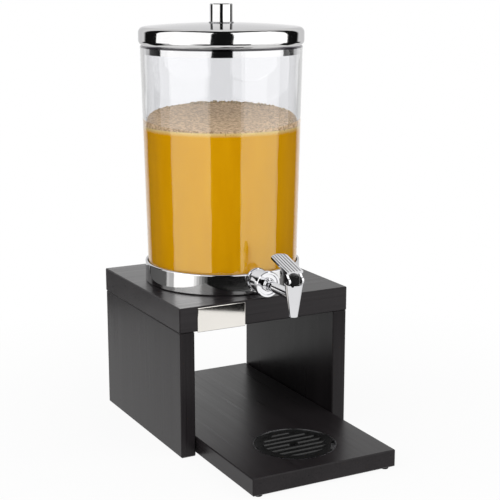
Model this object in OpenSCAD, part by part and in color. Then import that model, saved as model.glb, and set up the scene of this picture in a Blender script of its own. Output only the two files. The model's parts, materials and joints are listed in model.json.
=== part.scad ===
// Juice dispenser: bridge stand with a loose drip board, clear tank, lid and self-closing tap.
// Millimetres. Z is up, X to the right, the tap points to -Y. The origin lies on the table, in the
// middle of the footprint.

/* [Stand] */
// Width of the top board
stand_w = 200; // [180:1:260]
// Depth of the top board, front to back
stand_d = 204; // [190:1:260]
// Thickness of the top board
top_t = 26.3; // [24:0.1:40]
// Height of the two legs
leg_h = 135; // [110:1:180]
// Thickness of the legs
leg_t = 16.5; // [14:0.5:24]
// How far the legs stand back from the edges of the top board
leg_inset = 0.4; // [0:0.1:3]
// Chamfer along the edges of all boards
board_chamfer = 1; // [0.4:0.1:2]
// Diameter of the dowels between legs and top board
dowel_d = 8; // [6:1:10]
// Length of the dowels
dowel_l = 24; // [16:1:30]
// Distance between neighbouring dowels in a leg
dowel_pitch = 70; // [40:1:80]

/* [Sign] */
// Width of the sign plate
sign_w = 54.6; // [30:0.2:70]
// Height of the sign plate
sign_h = 25.5; // [15:0.5:26]
// Thickness of the sign plate
sign_t = 1.2; // [0.8:0.1:3]
// Distance of the sign from the left end of the top board
sign_left = 20; // [4:1:100]
// How far the sign hangs below the top board
sign_drop = 0.7; // [0:0.1:2]
// Bevel around the face of the sign
sign_bevel = 0.7; // [0.2:0.1:0.7]

/* [Drip board] */
// Length of the drip board, front to back
board_l = 327.5; // [300:0.5:340]
// How far the drip board reaches out in front of the stand
board_reach = 125; // [118:1:150]
// Thickness of the drip board
board_t = 18.1; // [17:0.1:26]
// Gap between the drip board and each leg
board_gap = 0.9; // [0.5:0.1:3]
// Height of the rubber feet under the drip board
foot_h = 2.4; // [1.5:0.1:6]
// Diameter of the rubber feet
foot_d = 8; // [6:0.5:12]
// Distance from the middle of a foot to the sides of the board
foot_side = 9; // [7:0.5:24]
// Distance from the middle of a foot to the ends of the board
foot_end = 6; // [6:0.5:24]

/* [Drip cup and grille] */
// Diameter of the rim of the drip cup
cup_rim_d = 86; // [82:0.5:100]
// Diameter of the drip cup below its rim
cup_d = 72; // [70:0.5:76]
// Depth of the drip cup
cup_depth = 14; // [10:0.5:15]
// Depth of the step that carries the rim
cup_step = 4.2; // [3.8:0.1:6]
// Wall of the drip cup
cup_wall = 1; // [0.8:0.1:1.5]
// How far the cup lies in front of the nozzle
cup_lead = 4.5; // [0:0.5:10]
// Thickness of the grille
grille_t = 2.6; // [2:0.1:2.8]
// Diameter of the field of slots
slot_field_d = 64; // [60:1:70]
// Number of slots
slot_count = 7; // [5:2:7]
// Distance from slot to slot
slot_pitch = 9.4; // [7:0.1:9.6]
// Width of a slot at the top
slot_w = 4.9; // [3:0.1:5]
// Draft of the slots' sides, in degrees
slot_draft = 20; // [5:1:24]
// Diameter of the finger hole
finger_hole_d = 11; // [6:0.5:14]
// Length of the finger notch in the edge of the grille
notch_l = 27; // [18:1:30]
// Depth of the finger notch
notch_depth = 4.5; // [3:0.1:5]
// Where the finger notch lies, from the right towards the back
notch_angle = -32; // [-90:1:90]

/* [Base ring and cooling pack] */
// Outer diameter of the base ring
ring_d = 171.2; // [168:0.2:184]
// Height of the base ring
ring_h = 22.6; // [18:0.1:26]
// Sheet thickness of the base ring
ring_t = 1.2; // [0.8:0.1:2]
// Diameter of the bead rolled along the ring's top
ring_bead_d = 2.6; // [2.2:0.1:3]
// Width of the ring's flange on the top board
ledge_w = 20; // [14:0.5:24]
// Number of screws in the flange
ring_screw_count = 3; // [3:1:3]
// Diameter of these screws
ring_screw_d = 3.2; // [2.5:0.1:4]
// Length of these screws under the head
ring_screw_l = 15; // [10:1:18]
// Diameter of the cooling pack
pack_d = 90; // [70:1:96]
// Depth of the pocket for the cooling pack
pack_pocket = 18; // [10:0.5:20]

/* [Tank] */
// Outer diameter at the rim
tank_rim_d = 175.2; // [174:0.2:184]
// Height from the underside to the rim
tank_h = 252.6; // [180:0.2:320]
// Draft of the wall, in degrees
tank_draft = 1.25; // [1:0.05:1.8]
// Thickness of the wall
tank_wall = 4; // [3:0.1:5]
// Outer radius between wall and bottom
tank_corner_r = 20; // [18:0.5:30]
// Height of the foot under the bottom
tank_foot_h = 4.7; // [3:0.1:6]
// Outer diameter of the foot
tank_foot_d = 116; // [112:1:122]
// Width of the foot
tank_foot_w = 7; // [4:0.5:8]

/* [Tap] */
// Height of the tap's axis above the top board
tap_rise = 14.9; // [14.4:0.1:18]
// Distance from the tank's axis to the nozzle
nozzle_reach = 159.5; // [150:0.5:170]
// Distance from the tank's axis to the sealing face of the boss
boss_reach = 80; // [79:0.1:82]
// Diameter of the boss in the tank
boss_d = 26; // [25.6:0.2:28]
// Length of the boss
boss_l = 14; // [12:0.1:20]
// Diameter of the thread in the boss
thread_d = 14; // [12:0.5:15]
// Length of the thread in the boss
thread_l = 10; // [8:0.1:11]
// Diameter of the juice passage in boss and shank
passage_d = 8; // [6:0.2:8.4]
// Thickness of the seal on the boss
seal_t = 1.2; // [0.8:0.1:2]
// Diameter of the collar's back flange
collar_flange_d = 25; // [24:0.2:25.4]
// Thickness of the collar's back flange
collar_flange_t = 1.8; // [1:0.1:3]
// Diameter of the collar
collar_d = 22.6; // [21:0.2:23.4]
// Length of the collar with its flange
collar_l = 19.3; // [16:0.1:24]
// Diameter of the spigot that the union nut screws on
spigot_d = 20; // [18:0.2:20.6]
// Length of the spigot
spigot_l = 2; // [1.5:0.1:2.4]
// Diameter of the union nut
nut_d = 27.6; // [26:0.2:28]
// Length of the union nut
nut_l = 6.5; // [6:0.1:10]
// Diameter of the recess in the nut's face
nut_recess_d = 22.6; // [18:0.2:23]
// Thickness of the nut's lip behind that recess
nut_lip_t = 1.2; // [0.8:0.1:1.5]
// Thickness of the tap body's hub flange
hub_flange_t = 1.6; // [1.2:0.1:2]
// Diameter of the hub
hub_d = 14; // [12.5:0.2:16]
// How far the hub stands out of the union nut
hub_proud = 2; // [0.5:0.1:4]
// Diameter of the arm at the hub
arm_d = 10.4; // [9.4:0.1:11.4]
// Diameter of the arm at the nozzle
arm_end_d = 11.4; // [10:0.1:12]
// Diameter of the passage in the arm
arm_bore_d = 6.4; // [4:0.2:7]

/* [Nozzle and valve] */
// Height of the nozzle's top above the tap's axis
nozzle_up = 12.4; // [11.6:0.1:14]
// Depth of the nozzle's mouth below the tap's axis
nozzle_down = 21.4; // [16:0.1:26]
// Diameter of the nozzle at the top
nozzle_top_d = 19; // [18.8:0.1:21]
// Diameter of the nozzle at its mouth
nozzle_mouth_d = 8.5; // [8:0.1:10]
// Wall of the valve chamber
chamber_wall = 1.6; // [1.2:0.1:1.9]
// Diameter of the outlet
outlet_d = 6.2; // [5:0.1:6.6]
// Depth of the valve seat below the tap's axis
seat_down = 6; // [5:0.1:8]
// Diameter of the bonnet's part inside the nozzle
insert_d = 14; // [12.6:0.1:14.2]
// Diameter of the bonnet's flange
bonnet_flange_d = 16.4; // [15:0.1:16.6]
// Thickness of the bonnet over the spring
bonnet_top_t = 3.2; // [2:0.1:4]
// Diameter of the bonnet's spring bore
bonnet_bore_d = 9.2; // [8.6:0.1:9.8]
// Diameter of the key that stops the bonnet in a notch of the rim
key_d = 3; // [2:0.1:3.4]
// Turn of that key about the nozzle, from the front to the right
key_angle = -37; // [-50:1:50]
// Diameter of the valve stem
stem_d = 4; // [3.4:0.1:4.2]
// Depth of the stem in its head, above the pin
stem_grip = 4.5; // [3:0.1:6]
// Diameter of the stem's head
head_d = 12.4; // [11:0.1:12.6]
// Diameter of the valve plug
plug_d = 8.6; // [8:0.1:9]
// Height of the valve plug above its seat
plug_h = 5; // [4:0.1:6]
// Wire of the spring
spring_wire = 0.7; // [0.5:0.05:0.9]
// Middle diameter of the spring's coils
spring_d = 6.8; // [6:0.1:7.2]
// Number of coils
spring_turns = 5; // [3:1:6]

/* [Lever] */
// Width of the paddle
lever_w = 18.5; // [18:0.5:24]
// Length of the paddle
lever_l = 38.4; // [30:0.2:46]
// Thickness of the paddle
lever_t = 2.6; // [2:0.1:4]
// Height of the paddle's underside over the pin
paddle_up = 8.8; // [8:0.1:12]
// Slope of the paddle at rest, in degrees
lever_pitch = 16.5; // [10:0.5:30]
// Radius of the paddle's round end
lever_end_r = 13; // [12:0.5:20]
// Thickness of the two cheeks beside the stem's head
cheek_t = 2.2; // [1.6:0.1:2.4]
// Distance from the pin to the back end of the cheeks
cheek_reach = 13; // [9:0.5:20]
// Number of grip ribs
rib_count = 5; // [3:1:6]
// Distance from rib to rib
rib_pitch = 3.4; // [2.4:0.1:3.6]
// Radius of a rib
rib_r = 1.2; // [0.8:0.1:1.6]
// How far the ribs stand out of the paddle
rib_h = 0.6; // [0.3:0.1:0.8]
// Radius of the cams under the cheeks
cam_r = 3.6; // [3.4:0.1:4.4]
// Distance of the cams' middle from the pin, which is the lift of the valve
cam_offset = 2.6; // [2:0.1:2.8]
// Diameter of the lever pin
pin_d = 1.8; // [1.4:0.1:2]

/* [Lid] */
// Diameter of the lid's band
lid_d = 178.4; // [177:0.2:190]
// Height of the lid's band
lid_band_h = 19.2; // [14:0.1:24]
// Radius of the roll along the band's lower edge
lid_roll_r = 5.5; // [4:0.1:6]
// Turn of that roll, in degrees
lid_roll_turn = 70; // [50:1:74]
// Rise of the dome above the band
lid_rise = 4; // [3:0.1:14]
// Radius between band and dome
lid_shoulder_r = 6; // [2.5:0.1:8]
// Sheet thickness of the lid
lid_t = 1; // [0.6:0.1:1.4]
// Depth of the lid's skirt inside the tank
skirt_depth = 9; // [5:0.2:16]
// Diameter of the knob
knob_d = 24.6; // [16:0.2:30]
// Height of the knob
knob_h = 19.2; // [15:0.1:30]
// Chamfer of the knob's top edge
knob_chamfer = 0.8; // [0.3:0.1:1.5]
// Diameter of the disc under the knob
rosette_d = 27; // [25:0.2:40]
// Thickness of that disc
rosette_t = 1; // [0.6:0.1:2]
// Diameter of the knob's screw
lid_screw_d = 5; // [4:0.5:6]
// Depth of the screw in the knob
lid_screw_depth = 12; // [8:0.5:13]

/* [Hidden] */
$fn = 96;

// Clearances: glued or screwed pieces, flat seats, loose round pieces and running shafts
glue_gap = 0.05;
seat_gap = 0.1;
loose_gap = 0.3;
run_gap = 0.05;
// Overlap of a cutting shape past the face that it opens
over = 1;

// Places of the stand and its boards
depth = stand_d + board_reach;
stand_front = depth / 2 - stand_d;
tank_y = depth / 2 - stand_d / 2;
top_z = leg_h + top_t;
leg_x = stand_w / 2 - leg_inset - leg_t / 2;
board_w = stand_w - 2 * (leg_inset + leg_t + board_gap);
board_y = board_l / 2 - depth / 2;
board_top = foot_h + board_t;
dowel_depth = dowel_l / 2 + seat_gap;

// Drip cup and grille
nozzle_y = tank_y - nozzle_reach;
cup_y = nozzle_y - cup_lead;
cup_seat_z = board_top - cup_step - seat_gap;
cup_round = 1.5;
grille_z = board_top - cup_step + cup_wall + seat_gap;
grille_d = cup_rim_d - 2 * (cup_wall + loose_gap);

// Base ring and cooling pack
bead_r = ring_bead_d / 2;
bead_turn = 270 + asin((bead_r - ring_t) / bead_r);
ring_bend = 1.6;
ledge_r = ring_d / 2 - ledge_w;
screw_circle_r = ledge_r + ledge_w * 0.4;
screw_head_d = 2 * ring_screw_d;
screw_head_h = 0.5 * ring_screw_d;
pack_gap = 0.4;
pack_round = 4;
pack_t = pack_pocket + tank_foot_h - pack_gap;

// Tank: the wall leans out by the draft and runs into the corner arc at its tangent
tank_z = top_z + tank_foot_h;
rim_z = tank_z + tank_h;
rim_r = tank_rim_d / 2;
rim_flat = 0.3;
rim_round = (tank_wall - rim_flat) / 2;
corner_z = tank_z + tank_corner_r;
corner_x = rim_r - (rim_z - corner_z) * tan(tank_draft) - tank_corner_r / cos(tank_draft);

// Stations along the tap's axis, measured from the tank's axis
tap_z = top_z + tap_rise;
boss_start = boss_reach - boss_l;
thread_start = boss_reach - thread_l;
boss_floor = top_z + ring_t + loose_gap;
collar_room_d = collar_flange_d + 2 * loose_gap;
collar_back = boss_reach + seal_t;
collar_front = collar_back + collar_l;
hub_back = collar_front + spigot_l;
nut_lip = hub_back + hub_flange_t + 2 * glue_gap;
nut_front = collar_front + nut_l;
hub_front = nut_front + hub_proud;
edge = 0.6;

// Heights in the nozzle, measured from the tap's axis
rim_step = 1.8;
bonnet_seat = nozzle_up - rim_step;
bonnet_top = nozzle_up - seat_gap;
insert_l = 4.6;
insert_z = bonnet_seat - insert_l;
spring_top = bonnet_top - bonnet_top_t - seat_gap;
plug_bottom = seat_gap - seat_down;
plug_top = plug_bottom + plug_h;
plug_nose = 1.2;
spring_bottom = plug_top + seat_gap;
tip_z = plug_bottom + 1.4;
tip_t = 1.4;
tip_d = stem_d + 1.8;

// Lever: the cams start half their offset above the pin and end as far below it, so the pin and the
// stem rise by the whole offset while the lever turns through its travel
cam_start = 150;
pin_up = nozzle_up + run_gap + cam_r - cam_offset * sin(cam_start);
cam_mid = [cam_offset * cos(cam_start), cam_offset * sin(cam_start)];
cheek_in = head_d / 2 + loose_gap;
cheek_out = cheek_in + cheek_t;
paddle_start = 0.3;
stem_end = pin_up + stem_grip;
head_bottom = nozzle_up + 0.5;
head_dome_r = paddle_up - loose_gap;

// Lid: it rests on the rim by the flange of its inner ring
lid_z = rim_z + seat_gap;
lid_r = lid_d / 2;
band_top = lid_z + lid_band_h;
dome_top = band_top + lid_rise;
roll_mid = [lid_r - lid_roll_r, lid_z + lid_roll_r * sin(lid_roll_turn)];
lip_r = roll_mid[0] + (lid_roll_r - lid_t) * cos(lid_roll_turn);
shoulder_mid = [lid_r - lid_shoulder_r, band_top - lid_shoulder_r];
shoulder_drop = lid_rise + lid_shoulder_r;
dome_radius = (pow(shoulder_mid[0], 2) + pow(shoulder_drop, 2) - pow(lid_shoulder_r, 2)) / (2 * lid_rise);
dome_mid = [0, dome_top - dome_radius];
dome_edge = atan2(shoulder_mid[1] - dome_mid[1], shoulder_mid[0]);
skirt_r = rim_r - tank_wall - skirt_depth * tan(tank_draft) - loose_gap;
knob_z = dome_top + rosette_t;
screw_seat = dome_top - lid_t;

wood_black = [0.17, 0.16, 0.17];
steel = [0.82, 0.82, 0.84];
chrome = [0.88, 0.88, 0.9];
black = [0.08, 0.08, 0.08];
grey_steel = [0.5, 0.5, 0.52];

// Points on an arc, in the plane of the profile
function arc(mid, r, from, to, steps) =
    [for (i = [0:steps]) let (a = from + (to - from) * i / steps) mid + r * [cos(a), sin(a)]];

module chamfered_rect(w, h, c) {
    x = w / 2;
    y = h / 2;
    polygon([
        [-x + c, -y], [x - c, -y], [x, -y + c], [x, y - c],
        [x - c, y], [-x + c, y], [-x, y - c], [-x, -y + c]
    ]);
}

// Block that stands on the plane z = 0 with every edge chamfered
module chamfered_block(w, d, h, c) {
    intersection() {
        linear_extrude(h) chamfered_rect(w, d, c);
        translate([0, 0, h / 2]) rotate([90, 0, 0])
            linear_extrude(d, center = true) chamfered_rect(w, h, c);
        translate([0, 0, h / 2]) rotate([90, 0, 90])
            linear_extrude(w, center = true) chamfered_rect(d, h, c);
    }
}

// Outline of a slot along X with round ends
module slot_outline(l, w) {
    reach = l / 2 - w / 2;
    polygon(concat(arc([reach, 0], w / 2, -90, 90, 8), arc([-reach, 0], w / 2, 90, 270, 8)));
}

// Ring or disc from z = 0 up
module ring(outer_d, inner_d, h) {
    difference() {
        cylinder(d = outer_d, h = h);
        translate([0, 0, -over]) cylinder(d = inner_d, h = h + 2 * over);
    }
}

// Local frames: the tank's axis, the tap's axis (z runs forward from the tank), the nozzle and the lever pin
module at_tank() { translate([0, tank_y, 0]) children(); }
module along_tap() { translate([0, tank_y, tap_z]) rotate([90, 0, 0]) children(); }
module at_nozzle() { translate([0, nozzle_y, tap_z]) children(); }
module at_pin() { at_nozzle() translate([0, 0, pin_up]) children(); }

module at_dowels(side) {
    for (k = [-1:1])
        translate([side * leg_x, tank_y + k * dowel_pitch, leg_h]) children();
}

module at_ring_screws() {
    for (k = [0:ring_screw_count - 1])
        at_tank() rotate([0, 0, 90 + 360 * k / ring_screw_count])
            translate([screw_circle_r, 0, top_z]) children();
}

module at_feet() {
    for (x = [-1, 1], y = [-1, 1])
        translate([x * (board_w / 2 - foot_side), board_y + y * (board_l / 2 - foot_end), 0])
            children();
}

module top_board() {
    color(wood_black) difference() {
        translate([0, tank_y, leg_h]) chamfered_block(stand_w, stand_d, top_t, board_chamfer);
        at_tank() translate([0, 0, top_z - pack_pocket])
            cylinder(d = pack_d + 2 * loose_gap, h = pack_pocket + over);
        for (side = [-1, 1])
            at_dowels(side) translate([0, 0, -over])
                cylinder(d = dowel_d + 2 * glue_gap, h = dowel_depth + over);
        at_ring_screws() translate([0, 0, -ring_screw_l])
            cylinder(d = ring_screw_d + 2 * glue_gap, h = ring_screw_l + over);
    }
}

module leg(side) {
    color(wood_black) difference() {
        translate([side * leg_x, tank_y, 0])
            chamfered_block(leg_t, stand_d - 2 * leg_inset, leg_h, board_chamfer);
        at_dowels(side) translate([0, 0, -dowel_depth])
            cylinder(d = dowel_d + 2 * glue_gap, h = dowel_depth + over);
    }
}

module left_leg() { leg(-1); }
module right_leg() { leg(1); }

module leg_dowels() {
    color("burlywood")
        for (side = [-1, 1])
            at_dowels(side) cylinder(d = dowel_d, h = dowel_l, center = true);
}

// Bent sheet: a wall with a bead rolled in along its top, on a flat flange, notched so that the tap lifts
// out with the tank
module base_ring() {
    r = ring_d / 2;
    color(steel) difference() {
        at_tank() translate([0, 0, top_z]) rotate_extrude() polygon(concat(
            [[ledge_r, 0]],
            arc([r - ring_bend, ring_bend], ring_bend, -90, 0, 6),
            arc([r - bead_r, ring_h - bead_r], bead_r, 0, bead_turn, 16),
            arc([r - ring_bend, ring_bend], ring_bend - ring_t, 0, -90, 6),
            [[ledge_r, ring_t]]
        ));
        along_tap() cylinder(d = collar_room_d, h = ring_d);
        translate([-collar_room_d / 2, tank_y - ring_d, tap_z]) cube([collar_room_d, ring_d, ring_h]);
        at_ring_screws() translate([0, 0, -over])
            cylinder(d = ring_screw_d + 2 * glue_gap, h = ring_t + 2 * over);
    }
}

module ring_screws() {
    tip = seat_gap - ring_screw_l;
    color(steel) at_ring_screws() rotate_extrude() polygon(concat(
        [[0, tip], [ring_screw_d / 2, tip + ring_screw_d / 2], [ring_screw_d / 2, ring_t]],
        [[screw_head_d / 2, ring_t]],
        [[screw_head_d / 2, ring_t + screw_head_h / 2], [screw_head_d / 3, ring_t + screw_head_h]],
        [[0, ring_t + screw_head_h]]
    ));
}

module cooling_pack() {
    r = pack_d / 2;
    color("lightblue") at_tank() translate([0, 0, top_z - pack_pocket])
        rotate_extrude() polygon(concat(
            [[0, 0]],
            arc([r - pack_round, pack_round], pack_round, -90, 0, 6),
            arc([r - pack_round, pack_t - pack_round], pack_round, 0, 90, 6),
            [[0, pack_t]]
        ));
}

// Plate with a bevelled face, flat on the front edge of the top board
module sign_plate() {
    face = [sign_w - 2 * sign_bevel, sign_h - 2 * sign_bevel];
    x = sign_left - stand_w / 2 + sign_w / 2;
    z = leg_h - sign_drop + sign_h / 2;
    color(steel) translate([x, stand_front, z]) rotate([90, 0, 0]) intersection() {
        linear_extrude(sign_t) square([sign_w, sign_h], center = true);
        rotate([90, 0, 0]) linear_extrude(sign_h, center = true) polygon([
            [-sign_w / 2, 0], [sign_w / 2, 0], [sign_w / 2, sign_t - sign_bevel / 2],
            [face[0] / 2, sign_t], [-face[0] / 2, sign_t], [-sign_w / 2, sign_t - sign_bevel / 2]
        ]);
        rotate([90, 0, 90]) linear_extrude(sign_w, center = true) polygon([
            [-sign_h / 2, 0], [sign_h / 2, 0], [sign_h / 2, sign_t - sign_bevel / 2],
            [face[1] / 2, sign_t], [-face[1] / 2, sign_t], [-sign_h / 2, sign_t - sign_bevel / 2]
        ]);
    }
}

module base_board() {
    color(wood_black) difference() {
        translate([0, board_y, foot_h]) chamfered_block(board_w, board_l, board_t, board_chamfer);
        translate([0, cup_y, cup_seat_z])
            cylinder(d = cup_rim_d + 2 * loose_gap, h = cup_step + seat_gap + over);
        translate([0, cup_y, board_top - cup_depth - loose_gap])
            cylinder(d = cup_d + 2 * loose_gap, h = cup_depth + over);
    }
}

module board_feet() {
    r = foot_d / 2;
    color(black) at_feet() rotate_extrude()
        polygon([[0, 0], [r - edge, 0], [r, edge], [r, foot_h], [0, foot_h]]);
}

// Turned cup with a stepped rim, its top level with the board
module drip_cup() {
    r = cup_d / 2;
    rim = cup_rim_d / 2;
    inner_round = cup_round - cup_wall / 2;
    color(grey_steel) translate([0, cup_y, board_top]) rotate_extrude() polygon(concat(
        [[0, -cup_depth]],
        arc([r - cup_round, cup_round - cup_depth], cup_round, -90, 0, 5),
        [[r, -cup_step], [rim, -cup_step], [rim, 0], [rim - cup_wall, 0]],
        [[rim - cup_wall, cup_wall - cup_step], [r - cup_wall, cup_wall - cup_step]],
        arc([r - cup_wall - inner_round, cup_wall + inner_round - cup_depth], inner_round, 0, -90, 5),
        [[0, cup_wall - cup_depth]]
    ));
}

// Disc with drafted slots that end on a circle, a finger hole and a finger notch in its edge
module drip_grille() {
    half = (slot_count - 1) / 2;
    tall = grille_t + 2 * over;
    wide = slot_w / 2 + over * tan(slot_draft);
    narrow = wide - tall * tan(slot_draft);
    color(black) translate([0, cup_y, grille_z]) difference() {
        cylinder(d = grille_d, h = grille_t);
        translate([0, 0, -over]) intersection() {
            cylinder(d = slot_field_d, h = tall);
            for (k = [-half:half])
                translate([0, k * slot_pitch, 0]) rotate([90, 0, 90])
                    linear_extrude(slot_field_d, center = true)
                        polygon([[-narrow, 0], [narrow, 0], [wide, tall], [-wide, tall]]);
        }
        translate([0, 0, -over]) linear_extrude(tall)
            rotate(notch_angle) translate([grille_d / 2, 0]) rotate(90)
                slot_outline(notch_l, 2 * notch_depth);
        translate([0, 0, -over]) cylinder(d = finger_hole_d, h = tall);
    }
}

// Moulded vessel: foot, corner arc, drafted wall and rounded rim, with a boss and flat seat for the tap
module tank() {
    foot_r = tank_foot_d / 2;
    foot_z = top_z + seat_gap;
    color([0.85, 0.87, 0.92, 0.35]) difference() {
        union() {
            at_tank() rotate_extrude() polygon(concat(
                [[0, tank_z], [foot_r - tank_foot_w, tank_z], [foot_r - tank_foot_w, foot_z]],
                [[foot_r, foot_z], [foot_r, tank_z]],
                arc([corner_x, corner_z], tank_corner_r, -90, -tank_draft, 10),
                arc([rim_r - rim_round, rim_z - rim_round], rim_round, 0, 90, 6),
                arc([rim_r - tank_wall + rim_round, rim_z - rim_round], rim_round, 90, 180, 6),
                arc([corner_x, corner_z], tank_corner_r - tank_wall, -tank_draft, -90, 10),
                [[0, tank_z + tank_wall]]
            ));
            intersection() {
                along_tap() translate([0, 0, boss_start]) cylinder(d = boss_d, h = boss_l);
                translate([-boss_d, tank_y - tank_rim_d, boss_floor])
                    cube([2 * boss_d, tank_rim_d, 2 * boss_d]);
            }
        }
        along_tap() translate([0, 0, boss_reach]) cylinder(d = collar_room_d, h = tank_rim_d);
        along_tap() translate([0, 0, thread_start])
            cylinder(d = thread_d + 2 * glue_gap, h = thread_l + over);
        along_tap() translate([0, 0, boss_start - boss_l])
            cylinder(d = passage_d, h = thread_start + over - boss_start + boss_l);
    }
}

module tap_outer_seal() {
    color("dimgray") along_tap() translate([0, 0, boss_reach])
        ring(collar_flange_d - 2 * loose_gap, thread_d + 2 * loose_gap, seal_t);
}

// Threaded tube with a flanged collar and a spigot for the union nut
module tap_shank() {
    flange = collar_flange_d / 2;
    color(chrome) along_tap() rotate_extrude() polygon([
        [passage_d / 2, thread_start + seat_gap],
        [thread_d / 2 - edge, thread_start + seat_gap],
        [thread_d / 2, thread_start + seat_gap + edge],
        [thread_d / 2, collar_back],
        [flange, collar_back],
        [flange, collar_back + collar_flange_t - edge],
        [flange - edge, collar_back + collar_flange_t],
        [collar_d / 2, collar_back + collar_flange_t],
        [collar_d / 2, collar_front],
        [spigot_d / 2, collar_front],
        [spigot_d / 2, hub_back],
        [passage_d / 2, hub_back]
    ]);
}

// Round nut that clamps the tap body on the spigot, with a recessed face
module tap_union_nut() {
    bore = spigot_d / 2 + glue_gap;
    hub = hub_d / 2 + loose_gap;
    back = collar_front + glue_gap;
    color(chrome) along_tap() rotate_extrude() polygon([
        [bore, back],
        [nut_d / 2 - edge, back],
        [nut_d / 2, back + edge],
        [nut_d / 2, nut_front - edge],
        [nut_d / 2 - edge, nut_front],
        [nut_recess_d / 2, nut_front],
        [nut_recess_d / 2 - edge, nut_lip + nut_lip_t],
        [hub, nut_lip + nut_lip_t],
        [hub, nut_lip],
        [bore, nut_lip]
    ]);
}

function nozzle_r(z) =
    (nozzle_mouth_d + (nozzle_top_d - nozzle_mouth_d) * (z + nozzle_down) / (nozzle_up + nozzle_down)) / 2;

// Rod in the plane of the nozzle's rim, from its axis outwards
module rim_key(d, l) {
    translate([0, 0, nozzle_up]) rotate([90, 0, key_angle]) cylinder(d = d, h = l);
}

// One casting: hub, arm and cone nozzle, with the valve chamber, seat and outlet bored into it
module tap_body() {
    hub_flange = spigot_d / 2 - glue_gap;
    seat = -seat_down;
    color(chrome) difference() {
        union() {
            along_tap() rotate_extrude() polygon([
                [0, hub_back + glue_gap],
                [hub_flange, hub_back + glue_gap],
                [hub_flange, nut_lip - glue_gap],
                [hub_d / 2, nut_lip - glue_gap],
                [hub_d / 2, hub_front - edge],
                [hub_d / 2 - edge, hub_front],
                [arm_d / 2 + edge, hub_front],
                [arm_d / 2, hub_front + edge],
                [arm_end_d / 2, nozzle_reach - nozzle_mouth_d / 2],
                [0, nozzle_reach - nozzle_mouth_d / 2]
            ]);
            at_nozzle() rotate_extrude() polygon([
                [0, -nozzle_down],
                [nozzle_mouth_d / 2, -nozzle_down],
                [nozzle_top_d / 2, nozzle_up],
                [0, nozzle_up]
            ]);
        }
        along_tap() cylinder(d = arm_bore_d, h = nozzle_reach);
        at_nozzle() rotate_extrude() polygon([
            [0, -nozzle_down - over],
            [outlet_d / 2, -nozzle_down - over],
            [outlet_d / 2, seat],
            [nozzle_r(seat) - chamber_wall, seat],
            [nozzle_r(insert_z) - chamber_wall, insert_z],
            [insert_d / 2 + glue_gap, insert_z],
            [insert_d / 2 + glue_gap, bonnet_seat],
            [bonnet_flange_d / 2 + glue_gap, bonnet_seat],
            [bonnet_flange_d / 2 + glue_gap, nozzle_up + over],
            [0, nozzle_up + over]
        ]);
        at_nozzle() rim_key(key_d, nozzle_top_d);
    }
}

// Plug in the nozzle's top that holds the spring and guides the stem, level with the rim
module tap_bonnet() {
    foot = insert_z + glue_gap;
    seat = bonnet_seat + glue_gap;
    color(black) at_nozzle() difference() {
        union() {
            translate([0, 0, foot]) cylinder(d = insert_d, h = bonnet_top - foot);
            translate([0, 0, seat]) cylinder(d = bonnet_flange_d, h = bonnet_top - seat);
            intersection() {
                rim_key(key_d - 2 * glue_gap, nozzle_top_d / 2 - edge);
                translate([0, 0, bonnet_top - key_d]) cylinder(d = nozzle_top_d, h = key_d);
            }
        }
        translate([0, 0, foot - over])
            cylinder(d = bonnet_bore_d, h = bonnet_top - bonnet_top_t - foot + over);
        translate([0, 0, foot]) cylinder(d = stem_d + 2 * run_gap, h = bonnet_top);
    }
}

// Helical compression spring, one unbroken tube of round wire
spring_rings = 8 * spring_turns;
spring_sides = 6;
spring_climb = spring_top - spring_bottom - spring_wire;
spring_pitch = spring_climb / spring_turns;
echo(spring_gap = spring_pitch - spring_wire);

module tap_spring() {
    slope = atan(spring_pitch / (PI * spring_d));
    points = [
        for (i = [0:spring_rings], j = [0:spring_sides - 1])
            let (turn = 360 * spring_turns * i / spring_rings)
            let (a = 360 * j / spring_sides)
            let (out = spring_d / 2 + spring_wire / 2 * cos(a))
            let (up = spring_wire / 2 * sin(a))
            [
                out * cos(turn) + up * sin(slope) * sin(turn),
                out * sin(turn) - up * sin(slope) * cos(turn),
                spring_bottom + spring_wire / 2 + spring_climb * i / spring_rings + up * cos(slope)
            ]
    ];
    last = spring_rings * spring_sides;
    walls = [
        for (i = [0:spring_rings - 1], j = [0:spring_sides - 1], half = [0, 1])
            let (a = i * spring_sides + j)
            let (b = i * spring_sides + (j + 1) % spring_sides)
            half == 0 ? [a, b + spring_sides, b] : [a, a + spring_sides, b + spring_sides]
    ];
    start_cap = [for (j = [1:spring_sides - 2]) [0, j, j + 1]];
    end_cap = [for (j = [1:spring_sides - 2]) [last, last + j + 1, last + j]];
    color("silver") at_nozzle()
        polyhedron(points = points, faces = concat(walls, start_cap, end_cap), convexity = 6);
}

// Soft plug with a nose for the outlet, snapped over the tip of the stem
module valve_plug() {
    nose = outlet_d / 2 - loose_gap;
    color("whitesmoke") at_nozzle() rotate_extrude() polygon([
        [0, plug_bottom - plug_nose],
        [nose - edge, plug_bottom - plug_nose],
        [nose, plug_bottom - plug_nose + edge],
        [nose, plug_bottom],
        [plug_d / 2, plug_bottom],
        [plug_d / 2, plug_top],
        [stem_d / 2 + run_gap, plug_top],
        [stem_d / 2 + run_gap, tip_z + tip_t + seat_gap],
        [tip_d / 2 + run_gap, tip_z + tip_t + seat_gap],
        [tip_d / 2 + run_gap, tip_z - seat_gap],
        [0, tip_z - seat_gap]
    ]);
}

// Cross hole for the lever pin
module pin_hole(clearance) {
    at_pin() rotate([0, 90, 0]) cylinder(d = pin_d + 2 * clearance, h = 2 * lever_w, center = true);
}

module valve_stem() {
    color("silver") difference() {
        at_nozzle() rotate_extrude() polygon([
            [0, tip_z], [tip_d / 2, tip_z], [tip_d / 2, tip_z + tip_t], [stem_d / 2, tip_z + tip_t],
            [stem_d / 2, stem_end], [0, stem_end]
        ]);
        pin_hole(run_gap);
    }
}

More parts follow.
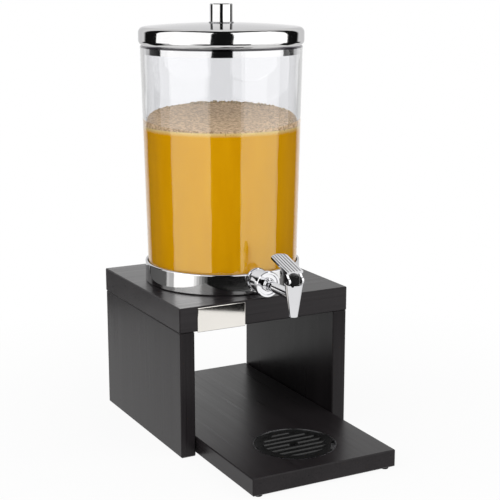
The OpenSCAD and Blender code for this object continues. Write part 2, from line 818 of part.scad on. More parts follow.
// Head on the stem, between the lever's cheeks, domed about the pin so that the paddle passes over it
module stem_head() {
    r = head_d / 2;
    bore = stem_d / 2 + glue_gap;
    color(black) difference() {
        at_nozzle() rotate_extrude() polygon(concat(
            [[bore, head_bottom], [r - edge, head_bottom], [r, head_bottom + edge]],
            arc([0, pin_up], head_dome_r, acos(r / head_dome_r), 90, 8),
            [[0, stem_end + seat_gap], [bore, stem_end + seat_gap]]
        ));
        pin_hole(run_gap);
    }
}

// Flat paddle with grip ribs, straight in front and round behind
module paddle() {
    tall = lever_t + rib_h;
    straight = lever_l - lever_end_r;
    translate([0, paddle_start, 0]) intersection() {
        union() {
            translate([-lever_w / 2, 0, 0]) cube([lever_w, lever_l, lever_t]);
            for (k = [0:rib_count - 1])
                translate([(k - (rib_count - 1) / 2) * rib_pitch, 0, tall - rib_r])
                    rotate([-90, 0, 0]) cylinder(r = rib_r, h = lever_l, $fn = 48);
        }
        union() {
            translate([-lever_w, 0, 0]) cube([2 * lever_w, straight, tall]);
            translate([0, straight, 0]) cylinder(r = lever_end_r, h = tall);
        }
    }
}

// Height of the paddle's middle plane over the pin at a distance behind it
function paddle_mid(y) = (paddle_up + lever_t / 2) / cos(lever_pitch) + y * tan(lever_pitch);

// Paddle on two cheeks that straddle the stem's head: their cams roll on the nozzle's rim and lift the stem
module tap_lever() {
    heel = cam_mid[1] - cam_r;
    cheek_front = paddle_start + lever_t;
    color(chrome) difference() {
        at_pin() {
            rotate([lever_pitch, 0, 0]) translate([0, 0, paddle_up]) paddle();
            for (x = [-cheek_out, cheek_in])
                translate([x, 0, 0]) rotate([90, 0, 90]) linear_extrude(cheek_t) polygon(concat(
                    arc(cam_mid, cam_r, 100, 270, 16),
                    [[pin_d, heel], [cheek_reach, paddle_mid(cheek_reach)]],
                    [[cheek_front, paddle_mid(cheek_front)]]
                ));
        }
        pin_hole(glue_gap);
    }
}

module lever_pin() {
    color("silver") at_pin() rotate([0, 90, 0])
        cylinder(d = pin_d, h = 2 * (cheek_out + seat_gap), center = true);
}

// Pressed shell: a band that rolls in below, then a round shoulder that runs smoothly into the dome
module lid_shell() {
    dome_start = dome_edge + (90 - dome_edge) / 12;
    color(steel) at_tank() difference() {
        rotate_extrude() polygon(concat(
            arc(roll_mid, lid_roll_r, -lid_roll_turn, 0, 8),
            arc(shoulder_mid, lid_shoulder_r, 0, dome_edge, 8),
            arc(dome_mid, dome_radius, dome_start, 90, 11),
            arc(dome_mid, dome_radius - lid_t, 90, dome_start, 11),
            arc(shoulder_mid, lid_shoulder_r - lid_t, dome_edge, 0, 8),
            arc(roll_mid, lid_roll_r - lid_t, 0, -lid_roll_turn, 8)
        ));
        translate([0, 0, screw_seat - over])
            cylinder(d = lid_screw_d + 2 * loose_gap, h = lid_t + 2 * over);
    }
}

// Angle ring under the band: its flange sits on the tank's rim, its skirt hangs inside
module lid_inner_ring() {
    color(steel) at_tank() rotate_extrude() polygon([
        [skirt_r - lid_t, lid_z + lid_t],
        [skirt_r - lid_t, lid_z - skirt_depth],
        [skirt_r, lid_z - skirt_depth],
        [skirt_r, lid_z],
        [lip_r - glue_gap, lid_z],
        [lip_r - glue_gap, lid_z + lid_t]
    ]);
}

module lid_knob() {
    r = knob_d / 2;
    color(steel) at_tank() translate([0, 0, knob_z]) difference() {
        rotate_extrude() polygon([
            [0, 0], [r, 0], [r, knob_h - knob_chamfer], [r - knob_chamfer, knob_h], [0, knob_h]
        ]);
        translate([0, 0, -over])
            cylinder(d = lid_screw_d + 2 * glue_gap, h = lid_screw_depth + seat_gap + over);
    }
}

module knob_rosette() {
    r = rosette_d / 2;
    hole = lid_screw_d / 2 + loose_gap;
    color(steel) at_tank() translate([0, 0, dome_top]) rotate_extrude() polygon([
        [hole, 0], [r, 0], [r, rosette_t / 2], [r - rosette_t / 2, rosette_t], [hole, rosette_t]
    ]);
}

module lid_screw() {
    r = lid_screw_d / 2;
    end = knob_z + lid_screw_depth;
    color("silver") at_tank() rotate_extrude() polygon([
        [0, screw_seat - r], [1.3 * r, screw_seat - r], [2 * r, screw_seat - r / 2],
        [2 * r, screw_seat - seat_gap], [r, screw_seat - seat_gap], [r, end - r / 2], [r / 2, end], [0, end]
    ]);
}

top_board();
left_leg();
right_leg();
leg_dowels();
base_ring();
ring_screws();
cooling_pack();
sign_plate();
base_board();
board_feet();
drip_cup();
drip_grille();
tank();
tap_outer_seal();
tap_shank();
tap_union_nut();
tap_body();
tap_bonnet();
tap_spring();
valve_plug();
valve_stem();
stem_head();
tap_lever();
lever_pin();
lid_shell();
lid_inner_ring();
lid_knob();
knob_rosette();
lid_screw();
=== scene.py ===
"""Looks of the juice dispenser: finishes for every CAD node, the juice in the tank and a plain studio."""
import json
import math
import random

import bmesh
import bpy
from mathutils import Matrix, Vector, noise as field


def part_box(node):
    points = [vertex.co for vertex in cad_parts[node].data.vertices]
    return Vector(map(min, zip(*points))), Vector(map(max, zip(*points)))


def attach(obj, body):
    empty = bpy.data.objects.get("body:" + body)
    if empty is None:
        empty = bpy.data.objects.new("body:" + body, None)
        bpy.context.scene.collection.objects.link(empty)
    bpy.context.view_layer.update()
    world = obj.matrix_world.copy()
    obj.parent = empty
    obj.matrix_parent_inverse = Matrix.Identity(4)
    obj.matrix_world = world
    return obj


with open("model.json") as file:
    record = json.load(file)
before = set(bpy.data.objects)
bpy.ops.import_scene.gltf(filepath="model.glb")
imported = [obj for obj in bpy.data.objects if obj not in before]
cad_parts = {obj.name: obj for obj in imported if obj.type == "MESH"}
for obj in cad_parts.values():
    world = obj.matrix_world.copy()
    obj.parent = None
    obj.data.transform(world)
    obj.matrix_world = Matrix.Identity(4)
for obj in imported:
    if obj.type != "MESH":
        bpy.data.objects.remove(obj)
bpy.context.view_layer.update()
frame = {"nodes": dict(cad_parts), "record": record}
nodes = frame["nodes"]
scene = bpy.context.scene
scene.view_settings.view_transform = "Standard"

# Camera
CAMERA_AT = Vector((-0.6042, -1.1436, 0.4927))
CAMERA_AIM = Vector((0.03477, 0.0625, 0.18867))
LENS_MM = 89.24
SENSOR_MM = 36.0
CLIP_START = 0.05

# Lamps. Each has a bearing and a width in degrees, a height span, a radiance and the group of pieces that it
# is set for. The softboxes light everything. The panels are for the clear plastic and the foam, the sheens
# for the gloss of the juice, and the fill for its colour alone. Aprons and cards are for steel and chrome.
# The strips, the dim card and the low lamp are for the ring and the boards.
LAMP_DISTANCE = 1.6
SOFTBOX = (0.30, 3.2)
PANEL = (-0.6, 0.30)
APRON = (0.12, 0.30)
CARD = (-0.6, 0.12)
CARD_RADIANCE = 1.6
LAMPS = {
    "left_softbox": (-56.0, 84.0, SOFTBOX, 1.55, "all"),
    "right_softbox": (58.0, 84.0, SOFTBOX, 1.7, "all"),
    "left_panel": (-47.0, 62.0, PANEL, 1.25, "tank"),
    "right_panel": (57.5, 61.0, PANEL, 1.25, "tank"),
    "left_sheen": (-37.8, 49.4, PANEL, 7.2, "juice_gloss"),
    "right_sheen": (46.0, 48.1, PANEL, 7.2, "juice_gloss"),
    "front_fill": (-1.0, 60.0, (-0.2, 0.7), 3.55, "juice_body"),
    "left_apron": (-56.0, 84.0, APRON, CARD_RADIANCE, "metal"),
    "right_apron": (58.0, 84.0, APRON, CARD_RADIANCE, "metal"),
    "left_card": (-58.5, 33.0, CARD, CARD_RADIANCE, "metal"),
    "left_half_card": (-82.0, 14.0, CARD, 0.62, "metal"),
    "right_card": (67.0, 52.0, CARD, 1.25, "metal"),
    "left_strip": (-52.0, 42.0, (0.30, 0.75), 3.4, "stand"),
    "left_dim": (-109.0, 50.0, CARD, 0.13, "stand"),
    "right_low": (53.0, 60.0, PANEL, 1.7, "board"),
    "back_strip": (-162.0, 32.0, (0.15, 0.70), 0.60, "tops"),
}
LAMP_TINTS = {"juice_gloss": (1.0, 0.96, 0.35)}

# The left card fades out to its right in narrow strips.
FADE_START = -42.0
FADE_STEP = 4.0
FADE_SHARES = (0.72, 0.46, 0.27, 0.14, 0.06)
for step, share in enumerate(FADE_SHARES):
    bearing = FADE_START + (step + 0.5) * FADE_STEP
    LAMPS[f"left_fade_{step}"] = (bearing, FADE_STEP, CARD, CARD_RADIANCE * share, "metal")

# Backdrop, as reflections show it. Its edge is the cosine of half its width. Between the two spans of the
# direction's Z it has a narrower waist.
BACKDROP_EDGE = 0.656
BACKDROP_SOFT = 0.04
BACKDROP_WAIST = 0.79
WAIST_LOW = (-0.30, -0.26)
WAIST_HIGH = (-0.13, -0.10)
DARK_ROOM = 0.008
WALL_GLOW = 0.48
WALL_GLOW_EDGE = (-0.25, 0.05)
AMBIENT = 0.15

# Floor
FLOOR_RADIUS = 0.62
FLOOR_STEPS = 128
FLOOR_DROP = 0.0002
FLOOR_GLOW_NEAR = 0.93
FLOOR_GLOW_SPAN = (0.15, 0.92 * FLOOR_RADIUS)

# Tank, as the CAD has it
TANK_WALL = 0.004
TANK_DRAFT = math.radians(1.25)
TANK_CORNER = 0.020
TANK_FOOT = 0.0046

# Painted shade: a dark line along the tank's rim, where the lid shades it
RIM_SHADE = 0.0026
RIM_SHADE_SOFT = 0.0006

# Juice. The wall has rings of points at these shares of its height, and the two close ones at the top keep
# its shading even.
JUICE_LEVEL = 0.3335
JUICE_OVERLAP = 0.00025
JUICE_STEPS = 128
CORNER_STEPS = 12
WALL_SHARES = (0.25, 0.5, 0.75, 0.998, 1.0)

# Foam. Each noise has its cells per metre, its slice and its share.
FOAM_LINE = 0.0040
FOAM_LINE_RAGGED = 0.0024
FOAM_FRONT = 0.0010
FOAM_BACK = 0.0158
FOAM_SINK = 0.0005
FOAM_ROUGH = 0.00025
FOAM_NOISES = ((110.0, 0.0, 1.0), (260.0, 3.0, 0.5))
FOAM_RINGS = 60
FOAM_RING_POWER = 0.8
FOAM_STEPS = 192

# Bubbles. Each crowd has a count, a middle and a half spread in degrees about the axis, and a mean radius.
BUBBLE_SEED = 7
BUBBLE_CROWDS = ((70, 60, 34, 0.0012), (45, 20, 30, 0.0009), (40, 110, 40, 0.0007), (40, -75, 30, 0.0006))
BUBBLE_SIZES = (0.5, 1.5)
BUBBLE_CLEAR = 1.2
BUBBLE_STRAY = 0.004

# Pairs of tones for the finishes
WOOD = ((0.0115, 0.0096, 0.0106), (0.0205, 0.0175, 0.0190))
RAW_WOOD = ((0.42, 0.26, 0.12), (0.60, 0.42, 0.23))
CLEAR_AND_SHADED = ((0.920, 0.922, 0.936), (0.010, 0.008, 0.012))
JUICE = ((0.660, 0.304, 0.0010), (0.705, 0.338, 0.0022))
FROTH = ((0.34, 0.22, 0.08), (0.72, 0.54, 0.24))
FOAM = ((0.44, 0.285, 0.16), (0.84, 0.62, 0.40))
BUBBLES = ((0.42, 0.30, 0.16), (0.74, 0.62, 0.42))
FLOOR = ((0.86, 0.86, 0.86), (0.89, 0.89, 0.89))

# Metals: colour, least roughness and what smudges add to it
METALS = {
    "polished_steel": ((0.665, 0.660, 0.657), 0.05, 0.04),
    "chrome_plate": ((0.74, 0.74, 0.755), 0.03, 0.03),
    "sign_steel": ((0.86, 0.83, 0.78), 0.05, 0.04),
    "grey_steel": ((0.46, 0.46, 0.47), 0.22, 0.12),
    "screw_steel": ((0.55, 0.55, 0.57), 0.16, 0.08),
}
METAL_EDGE = (0.72, 0.72, 0.73, 1.0)
METAL_SHADE = 0.95

# Moulded pieces: dark and light tone, least roughness and IOR
MOULDED = {
    "black_plastic": ((0.008, 0.008, 0.008), (0.014, 0.014, 0.014), 0.18, 1.48),
    "rubber": ((0.004, 0.004, 0.004), (0.008, 0.008, 0.008), 0.6, 1.2),
    "silicone": ((0.58, 0.58, 0.56), (0.68, 0.68, 0.66), 0.45, 1.48),
    "pack_plastic": ((0.22, 0.40, 0.60), (0.30, 0.50, 0.70), 0.35, 1.48),
}
MOULD_CELLS = 1600.0
MOULD_DEPTH = 0.00003

# Boards: the axis of the grain, and the cells per metre along and across it
GRAIN_ALONG = {"top_board": 0, "left_leg": 2, "right_leg": 2, "base_board": 1}
FINE_GRAIN = (6.0, 420.0)
SLOW_STAIN = (2.5, 38.0)

# Nodes whose finish isn't that of their slot
OWN_FINISH = {"sign_plate": "sign_steel", "knob_rosette": "grey_steel"}

# Shading of the CAD nodes
JOIN_DISTANCE = 0.000002
SMOOTH_BELOW = math.radians(32)

tank_low, tank_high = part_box("tank")
AXIS = (tank_low + tank_high) / 2
RIM_R = (tank_high.x - tank_low.x) / 2
RIM_Z = tank_high.z
TANK_FLOOR = tank_low.z + TANK_FOOT
CORNER_Z = TANK_FLOOR + TANK_CORNER
CORNER_R = RIM_R - (RIM_Z - CORNER_Z) * math.tan(TANK_DRAFT) - TANK_CORNER / math.cos(TANK_DRAFT)


def bearing_from_tank(degrees):
    """Level direction from the tank's axis, turned from the camera's side to the right."""
    to_camera = CAMERA_AT - AXIS
    turn = math.atan2(to_camera.y, to_camera.x) + math.radians(degrees)
    return Vector((math.cos(turn), math.sin(turn), 0.0))


# Node trees

def feed(tree, target, inputs):
    """Sets a node's sockets to values, or links them to other nodes' outputs."""
    for name, value in inputs.items():
        if isinstance(value, bpy.types.NodeSocket):
            tree.links.new(value, target.inputs[name])
        else:
            target.inputs[name].default_value = value


def add(tree, kind, inputs=None, **settings):
    made = tree.nodes.new(kind)
    for name, value in settings.items():
        setattr(made, name, value)
    feed(tree, made, inputs or {})
    return made


def calculate(tree, operation, *values):
    return add(tree, "ShaderNodeMath", dict(enumerate(values)), operation=operation).outputs[0]


def of_vectors(tree, operation, output, *values):
    return add(tree, "ShaderNodeVectorMath", dict(enumerate(values)), operation=operation).outputs[output]


def mix(tree, factor, first, second):
    """Mixes two numbers."""
    return add(tree, "ShaderNodeMix", {0: factor, 2: first, 3: second}).outputs[0]


def material(name, sockets):
    made = bpy.data.materials.new(name)
    made.use_nodes = True
    shader = made.node_tree.nodes["Principled BSDF"]
    feed(made.node_tree, shader, sockets)
    return made, made.node_tree, shader


def height_on(tree):
    """Height of a point in the piece's own frame."""
    place = add(tree, "ShaderNodeTexCoord").outputs["Object"]
    return add(tree, "ShaderNodeSeparateXYZ", {"Vector": place}).outputs["Z"]


def grain(tree, cells, detail=4.0, distortion=0.0):
    """Noise with a number of cells per metre, the same along every axis or one for each."""
    scale = (cells, cells, cells) if isinstance(cells, float) else cells
    place = add(tree, "ShaderNodeTexCoord").outputs["Object"]
    spread = add(tree, "ShaderNodeMapping", {"Vector": place, "Scale": scale}).outputs["Vector"]
    sockets = {"Vector": spread, "Scale": 1.0, "Detail": detail, "Distortion": distortion}
    return add(tree, "ShaderNodeTexNoise", sockets).outputs["Fac"]


def tones(tree, factor, dark, light, low=0.3, high=0.7):
    """Colour that goes from one tone to the other while the factor goes from low to high."""
    ramp = add(tree, "ShaderNodeValToRGB", {"Fac": factor})
    for element, place, colour in zip(ramp.color_ramp.elements, (low, high), (dark, light)):
        element.position = place
        element.color = (*colour, 1.0)
    return ramp.outputs["Color"]


def between(tree, factor, low, high, start=0.3, end=0.7):
    """Number that goes from low to high while the factor goes from start to end."""
    sockets = {"Value": factor, "From Min": start, "From Max": end, "To Min": low, "To Max": high}
    return add(tree, "ShaderNodeMapRange", sockets).outputs["Result"]


def bump(tree, height, depth, strength):
    sockets = {"Height": height, "Distance": depth, "Strength": strength}
    return add(tree, "ShaderNodeBump", sockets).outputs["Normal"]


# Finishes

def board_cells(axis_along, cells):
    return [cells[0] if axis == axis_along else cells[1] for axis in range(3)]


def stained_wood(name, axis_along):
    """Black stained board: fine open grain along one axis, with slow changes of the stain."""
    made, tree, shader = material(name, {"IOR": 1.28})
    fine = grain(tree, board_cells(axis_along, FINE_GRAIN), 6.0, 0.4)
    slow = grain(tree, board_cells(axis_along, SLOW_STAIN), 3.0)
    mean = calculate(tree, "MULTIPLY", calculate(tree, "ADD", fine, slow), 0.5)
    feed(tree, shader, {
        "Base Color": tones(tree, mean, *WOOD, 0.36, 0.62),
        "Roughness": between(tree, fine, 0.27, 0.36),
        "Normal": bump(tree, fine, 0.00006, 0.4),
    })
    return made


def raw_wood(name):
    """Dowel wood with its grain upright."""
    made, tree, shader = material(name, {"IOR": 1.45})
    lines = grain(tree, (900.0, 900.0, 40.0), 5.0, 0.3)
    feed(tree, shader, {
        "Base Color": tones(tree, lines, *RAW_WOOD),
        "Roughness": between(tree, lines, 0.55, 0.7),
        "Normal": bump(tree, lines, 0.0001, 0.5),
    })
    return made


def metal(name, colour, rough, smudge):
    """Bright metal with faint polishing marks and smudges in its gloss."""
    made, tree, shader = material(name, {"Metallic": 1.0, "Specular Tint": METAL_EDGE})
    marks = grain(tree, 900.0, 2.0)
    slow = grain(tree, 30.0, 3.0)
    smudges = calculate(tree, "MULTIPLY", marks, slow)
    feed(tree, shader, {
        "Base Color": tones(tree, slow, [METAL_SHADE * value for value in colour], colour),
        "Roughness": between(tree, smudges, rough, rough + smudge, 0.1, 0.4),
    })
    return made


def clear_plastic(name):
    """Clear moulding that darkens along the rim, where the lid shades it."""
    made, tree, shader = material(name, {"Transmission Weight": 1.0, "IOR": 1.58})
    start = RIM_Z - RIM_SHADE
    shade = between(tree, height_on(tree), 0.0, 1.0, start, start + RIM_SHADE_SOFT)
    feed(tree, shader, {
        "Base Color": tones(tree, shade, *CLEAR_AND_SHADED, 0.0, 1.0),
        "Roughness": between(tree, grain(tree, (60.0, 60.0, 25.0), 3.0), 0.0, 0.012),
    })
    return made


def moulded(name, dark, light, rough, ior):
    """Plastic or rubber with a fine moulded texture."""
    made, tree, shader = material(name, {"IOR": ior})
    fine = grain(tree, MOULD_CELLS, 2.0)
    feed(tree, shader, {
        "Base Color": tones(tree, grain(tree, 50.0, 3.0), dark, light),
        "Roughness": between(tree, fine, rough, rough + 0.1),
        "Normal": bump(tree, fine, MOULD_DEPTH, 0.6),
    })
    return made


def juice_finish(name):
    """Opaque juice, a little uneven, with a pale line where the foam clings to the wall."""
    made, tree, shader = material(name, {"Specular IOR Level": 0.15, "Roughness": 0.06})
    flesh = tones(tree, grain(tree, (90.0, 90.0, 14.0), 4.0), *JUICE)
    froth = tones(tree, grain(tree, 620.0, 1.0), *FROTH, 0.26, 0.34)
    ragged = calculate(tree, "MULTIPLY_ADD", grain(tree, 240.0, 3.0), FOAM_LINE_RAGGED, height_on(tree))
    line = between(tree, ragged, 0.0, 1.0, JUICE_LEVEL - FOAM_LINE, JUICE_LEVEL)
    colour = add(tree, "ShaderNodeMix", {0: line, 6: flesh, 7: froth}, data_type="RGBA").outputs[2]
    feed(tree, shader, {"Base Color": colour})
    return made


def foam_finish(name, dark, light, cells, rough):
    """Froth with dark flecks between its bubbles."""
    made, tree, shader = material(name, {"IOR": 1.35})
    flecks = grain(tree, cells, 5.0, 0.6)
    feed(tree, shader, {
        "Base Color": tones(tree, flecks, dark, light, 0.38, 0.60),
        "Roughness": between(tree, flecks, rough, rough + 0.2),
        "Normal": bump(tree, flecks, 0.0004, 0.7),
    })
    return made


finishes = {"clear_plastic": clear_plastic("clear_plastic"), "dowel_wood": raw_wood("dowel_wood")}
for name, values in METALS.items():
    finishes[name] = metal(name, *values)
for name, values in MOULDED.items():
    finishes[name] = moulded(name, *values)


# CAD nodes

def smooth_shading(limit):
    """Node group that joins the faces of a solid and shades edges flatter than the limit as smooth."""
    group = bpy.data.node_groups.new("smooth_shading", "GeometryNodeTree")
    group.is_modifier = True
    group.interface.new_socket("Geometry", in_out="INPUT", socket_type="NodeSocketGeometry")
    group.interface.new_socket("Geometry", in_out="OUTPUT", socket_type="NodeSocketGeometry")
    source = add(group, "NodeGroupInput").outputs["Geometry"]
    joined = add(group, "GeometryNodeMergeByDistance", {"Geometry": source, "Distance": JOIN_DISTANCE})
    stale = {"Geometry": joined.outputs[0], "Name": "custom_normal"}
    plain = add(group, "GeometryNodeRemoveAttribute", stale)
    faces = add(group, "GeometryNodeSetShadeSmooth", {"Geometry": plain.outputs[0], "Shade Smooth": True})
    angle = add(group, "GeometryNodeInputMeshEdgeAngle").outputs["Unsigned Angle"]
    flat = calculate(group, "LESS_THAN", angle, limit)
    edges = add(group, "GeometryNodeSetShadeSmooth", {"Geometry": faces.outputs[0], "Shade Smooth": flat},
                domain="EDGE")
    add(group, "NodeGroupOutput", {0: edges.outputs[0]})
    return group


SMOOTH = smooth_shading(SMOOTH_BELOW)


def dress(name, slot):
    """Gives a CAD node its finish, and smooth shading that keeps its edges sharp."""
    piece = nodes[name]
    finish = finishes.get(OWN_FINISH.get(name, slot)) or stained_wood(f"{name}_wood", GRAIN_ALONG[name])
    piece.data.materials.clear()
    piece.data.materials.append(finish)
    piece.modifiers.new("smooth", "NODES").node_group = SMOOTH
    even = piece.modifiers.new("even", "WEIGHTED_NORMAL")
    even.keep_sharp = True


metal_pieces = []
for part in frame["record"]["subparts"]:
    dress(part["node"], part["material_slot"])
    if part["material_slot"] in METALS and part["node"] != "sign_plate":
        metal_pieces.append(nodes[part["node"]])


# Juice

def inner_radius(z):
    """Radius of the tank's inner wall, above the corner."""
    return RIM_R - (RIM_Z - z) * math.tan(TANK_DRAFT) - TANK_WALL / math.cos(TANK_DRAFT)


def piece_from(name, shape, finish):
    """Smooth piece that rides on the tank."""
    mesh = bpy.data.meshes.new(name)
    bmesh.ops.recalc_face_normals(shape, faces=shape.faces)
    for face in shape.faces:
        face.smooth = True
    shape.to_mesh(mesh)
    shape.free()
    mesh.materials.append(finish)
    made = bpy.data.objects.new(name, mesh)
    scene.collection.objects.link(made)
    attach(made, "tank")
    return made


def lathe(profile, steps, lift=lambda x, y, z: 0.0):
    """Closed turned body about the tank's axis. Both ends of the profile lie on the axis, where the faces are
    triangles, and lift adds to the Z of each point."""
    shape = bmesh.new()
    rings = []
    for r, z in profile:
        count = 1 if r == 0 else steps
        ring = []
        for i in range(count):
            turn = 2 * math.pi * i / steps
            x, y = AXIS.x + r * math.cos(turn), AXIS.y + r * math.sin(turn)
            ring.append(shape.verts.new((x, y, z + lift(x, y, z))))
        rings.append(ring)
    for low, high in zip(rings, rings[1:]):
        for i in range(steps):
            corners = (low[i % len(low)], low[(i + 1) % len(low)],
                       high[(i + 1) % len(high)], high[i % len(high)])
            shape.faces.new(dict.fromkeys(corners))
    return shape


def juice_body():
    """Fills the tank up to the foam, a hair into the wall so that no air shows between them."""
    inner = TANK_CORNER - TANK_WALL + JUICE_OVERLAP
    quarter = math.pi / 2
    turns = [-quarter + (quarter - TANK_DRAFT) * i / CORNER_STEPS for i in range(CORNER_STEPS + 1)]
    corner = [(CORNER_R + inner * math.cos(a), CORNER_Z + inner * math.sin(a)) for a in turns]
    low_r, low_z = corner[-1]
    top_r = inner_radius(JUICE_LEVEL) + JUICE_OVERLAP
    wall = [(low_r + (top_r - low_r) * share, low_z + (JUICE_LEVEL - low_z) * share) for share in WALL_SHARES]
    return lathe([(0, corner[0][1])] + corner + wall + [(0, JUICE_LEVEL)], JUICE_STEPS)


def foam_top(x, y):
    """Height of the froth over the juice: it lies deeper towards the back wall and is uneven all over."""
    reach = Vector((x - AXIS.x, y - AXIS.y, 0.0)).dot(bearing_from_tank(0.0)) / inner_radius(JUICE_LEVEL)
    rough = sum(share * field.noise(Vector((x, y, slice_z)) * cells) for cells, slice_z, share in FOAM_NOISES)
    return FOAM_FRONT + (FOAM_BACK - FOAM_FRONT) * (1 - reach) / 2 + FOAM_ROUGH * rough


def foam_body():
    """Froth on the juice: a flat underside, a side along the wall and an uneven top."""
    low = JUICE_LEVEL - FOAM_SINK
    rim = inner_radius(JUICE_LEVEL) + JUICE_OVERLAP
    reaches = [rim * (1 - i / FOAM_RINGS) ** FOAM_RING_POWER for i in range(FOAM_RINGS + 1)]
    profile = [(0, low), (rim, low)] + [(reach, JUICE_LEVEL) for reach in reaches]
    return lathe(profile, FOAM_STEPS, lambda x, y, z: foam_top(x, y) if z == JUICE_LEVEL else 0.0)


def foam_bubbles():
    """Bubbles that gather along the wall."""
    draw = random.Random(BUBBLE_SEED)
    rim = inner_radius(JUICE_LEVEL)
    shape = bmesh.new()
    for count, middle, spread, size in BUBBLE_CROWDS:
        for _ in range(count):
            turn = math.radians(middle + draw.uniform(-spread, spread))
            radius = size * draw.uniform(*BUBBLE_SIZES)
            reach = rim - radius * BUBBLE_CLEAR - abs(draw.gauss(0.0, BUBBLE_STRAY))
            x, y = AXIS.x + reach * math.cos(turn), AXIS.y + reach * math.sin(turn)
            ball = bmesh.ops.create_icosphere(shape, subdivisions=2, radius=radius)["verts"]
            bmesh.ops.translate(shape, verts=ball, vec=(x, y, JUICE_LEVEL + foam_top(x, y) + radius / 2))
    return shape


juice = piece_from("juice", juice_body(), juice_finish("juice"))
foam = piece_from("juice_foam", foam_body(), foam_finish("juice_foam", *FOAM, 300.0, 0.5))
bubbles = piece_from("juice_bubbles", foam_bubbles(), foam_finish("juice_bubbles", *BUBBLES, 500.0, 0.15))

# The clear tank casts no shadow, and reflections leave out the tank, its contents and the lever.
nodes["tank"].visible_shadow = False
for piece in (nodes["tank"], nodes["tap_lever"], juice, foam, bubbles):
    piece.visible_glossy = False


# Studio

def studio_camera():
    data = bpy.data.cameras.new("camera")
    data.lens = LENS_MM
    data.sensor_width = SENSOR_MM
    data.clip_start = CLIP_START
    made = bpy.data.objects.new("camera", data)
    made.location = CAMERA_AT
    made.rotation_euler = (CAMERA_AIM - CAMERA_AT).to_track_quat("-Z", "Y").to_euler()
    scene.collection.objects.link(made)
    scene.camera = made


def lamp(name, bearing, width, span, radiance, lit):
    """Upright rectangle that faces the tank's axis and lights one group of pieces, or everything."""
    data = bpy.data.lights.new(name, "AREA")
    data.shape = "RECTANGLE"
    data.size = 2 * LAMP_DISTANCE * math.tan(math.radians(width / 2))
    data.size_y = span[1] - span[0]
    data.energy = radiance * math.pi * data.size * data.size_y
    data.color = LAMP_TINTS.get(lit, (1.0, 1.0, 1.0))
    made = bpy.data.objects.new(name, data)
    away = bearing_from_tank(bearing)
    made.location = Vector((AXIS.x, AXIS.y, sum(span) / 2)) + away * LAMP_DISTANCE
    made.rotation_euler = (-away).to_track_quat("-Z", "Y").to_euler()
    made.visible_camera = False
    made.visible_diffuse = lit != "juice_gloss"
    made.visible_glossy = lit != "juice_body"
    scene.collection.objects.link(made)
    if lit in lamp_targets:
        made.light_linking.receiver_collection = lamp_targets[lit]


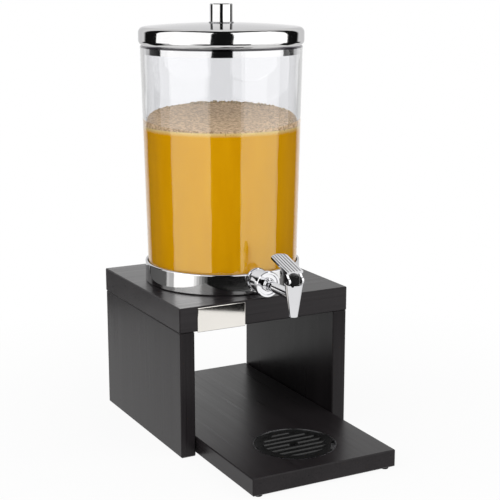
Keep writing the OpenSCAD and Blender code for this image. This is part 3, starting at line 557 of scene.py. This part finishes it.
def studio_world():
    """White to the camera and through the tank, a backdrop in mirrors, a pale tone for what the tank's wall
    reflects inside itself, and a low even light on surfaces."""
    world = bpy.data.worlds.new("studio")
    scene.world = world
    world.use_nodes = True
    world.cycles.sampling_method = "NONE"
    tree = world.node_tree
    tree.nodes.clear()
    path = add(tree, "ShaderNodeLightPath").outputs
    direction = add(tree, "ShaderNodeTexCoord").outputs["Generated"]
    rise = add(tree, "ShaderNodeSeparateXYZ", {"Vector": direction}).outputs["Z"]
    level = of_vectors(tree, "MULTIPLY", "Vector", direction, (1.0, 1.0, 0.0))
    level = of_vectors(tree, "NORMALIZE", "Vector", level)
    behind = of_vectors(tree, "DOT_PRODUCT", "Value", level, -bearing_from_tank(0.0))
    over = between(tree, rise, 0.0, BACKDROP_WAIST - BACKDROP_EDGE, *WAIST_LOW)
    under = between(tree, rise, 1.0, 0.0, *WAIST_HIGH)
    inside = calculate(tree, "SUBTRACT", behind, calculate(tree, "MULTIPLY", over, under))
    edge = (BACKDROP_EDGE - BACKDROP_SOFT, BACKDROP_EDGE + BACKDROP_SOFT)
    backdrop = between(tree, inside, DARK_ROOM, 1.0, *edge)
    glow = between(tree, behind, DARK_ROOM, WALL_GLOW, *WALL_GLOW_EDGE)
    in_wall = calculate(tree, "MODULO", path["Transmission Depth"], 2.0)
    mirrored = calculate(tree, "GREATER_THAN", path["Glossy Depth"], 0.5)
    lit = calculate(tree, "GREATER_THAN", path["Diffuse Depth"], 0.5)
    shown = mix(tree, mirrored, 1.0, mix(tree, in_wall, backdrop, glow))
    strength = mix(tree, lit, shown, AMBIENT)
    light = add(tree, "ShaderNodeBackground", {"Color": (1.0, 1.0, 1.0, 1.0), "Strength": strength})
    add(tree, "ShaderNodeOutputWorld", {"Surface": light.outputs[0]})


def floor_finish():
    """Pale floor that keeps the object's shadow and runs into the white background."""
    made, tree, shader = material("floor", {"Roughness": 0.9, "Specular IOR Level": 0.0})
    feed(tree, shader, {"Base Color": tones(tree, grain(tree, 300.0, 3.0), *FLOOR)})
    place = add(tree, "ShaderNodeTexCoord").outputs["Object"]
    away = of_vectors(tree, "LENGTH", "Value", place)
    glow = between(tree, away, FLOOR_GLOW_NEAR, 1.0, *FLOOR_GLOW_SPAN)
    path = add(tree, "ShaderNodeLightPath").outputs
    seen = calculate(tree, "MAXIMUM", path["Is Camera Ray"], path["Is Glossy Ray"])
    seen = calculate(tree, "MAXIMUM", seen, path["Is Transmission Ray"])
    share = calculate(tree, "MULTIPLY", seen, glow)
    white = add(tree, "ShaderNodeEmission", {"Strength": 1.0})
    both = add(tree, "ShaderNodeMixShader", {0: share, 1: shader.outputs[0], 2: white.outputs[0]})
    feed(tree, tree.nodes["Material Output"], {"Surface": both.outputs[0]})
    return made


def studio_floor():
    shape = bmesh.new()
    bmesh.ops.create_circle(shape, cap_ends=True, segments=FLOOR_STEPS, radius=FLOOR_RADIUS)
    mesh = bpy.data.meshes.new("floor")
    shape.to_mesh(mesh)
    shape.free()
    mesh.materials.append(floor_finish())
    made = bpy.data.objects.new("floor", mesh)
    made.location.z = -FLOOR_DROP
    scene.collection.objects.link(made)


lamp_groups = {
    "tank": [nodes["tank"], foam, bubbles],
    "juice_gloss": [juice],
    "juice_body": [juice],
    "metal": metal_pieces,
    "stand": [nodes["top_board"], nodes["base_ring"]],
    "board": [nodes["top_board"]],
    "tops": [nodes["top_board"], nodes["base_board"]],
}
lamp_targets = {}
for group, pieces in lamp_groups.items():
    lamp_targets[group] = bpy.data.collections.new(f"lit_{group}")
    for piece in pieces:
        lamp_targets[group].objects.link(piece)

studio_camera()
studio_world()
studio_floor()
for name, settings in LAMPS.items():
    lamp(name, *settings)

bpy.context.view_layer.update()
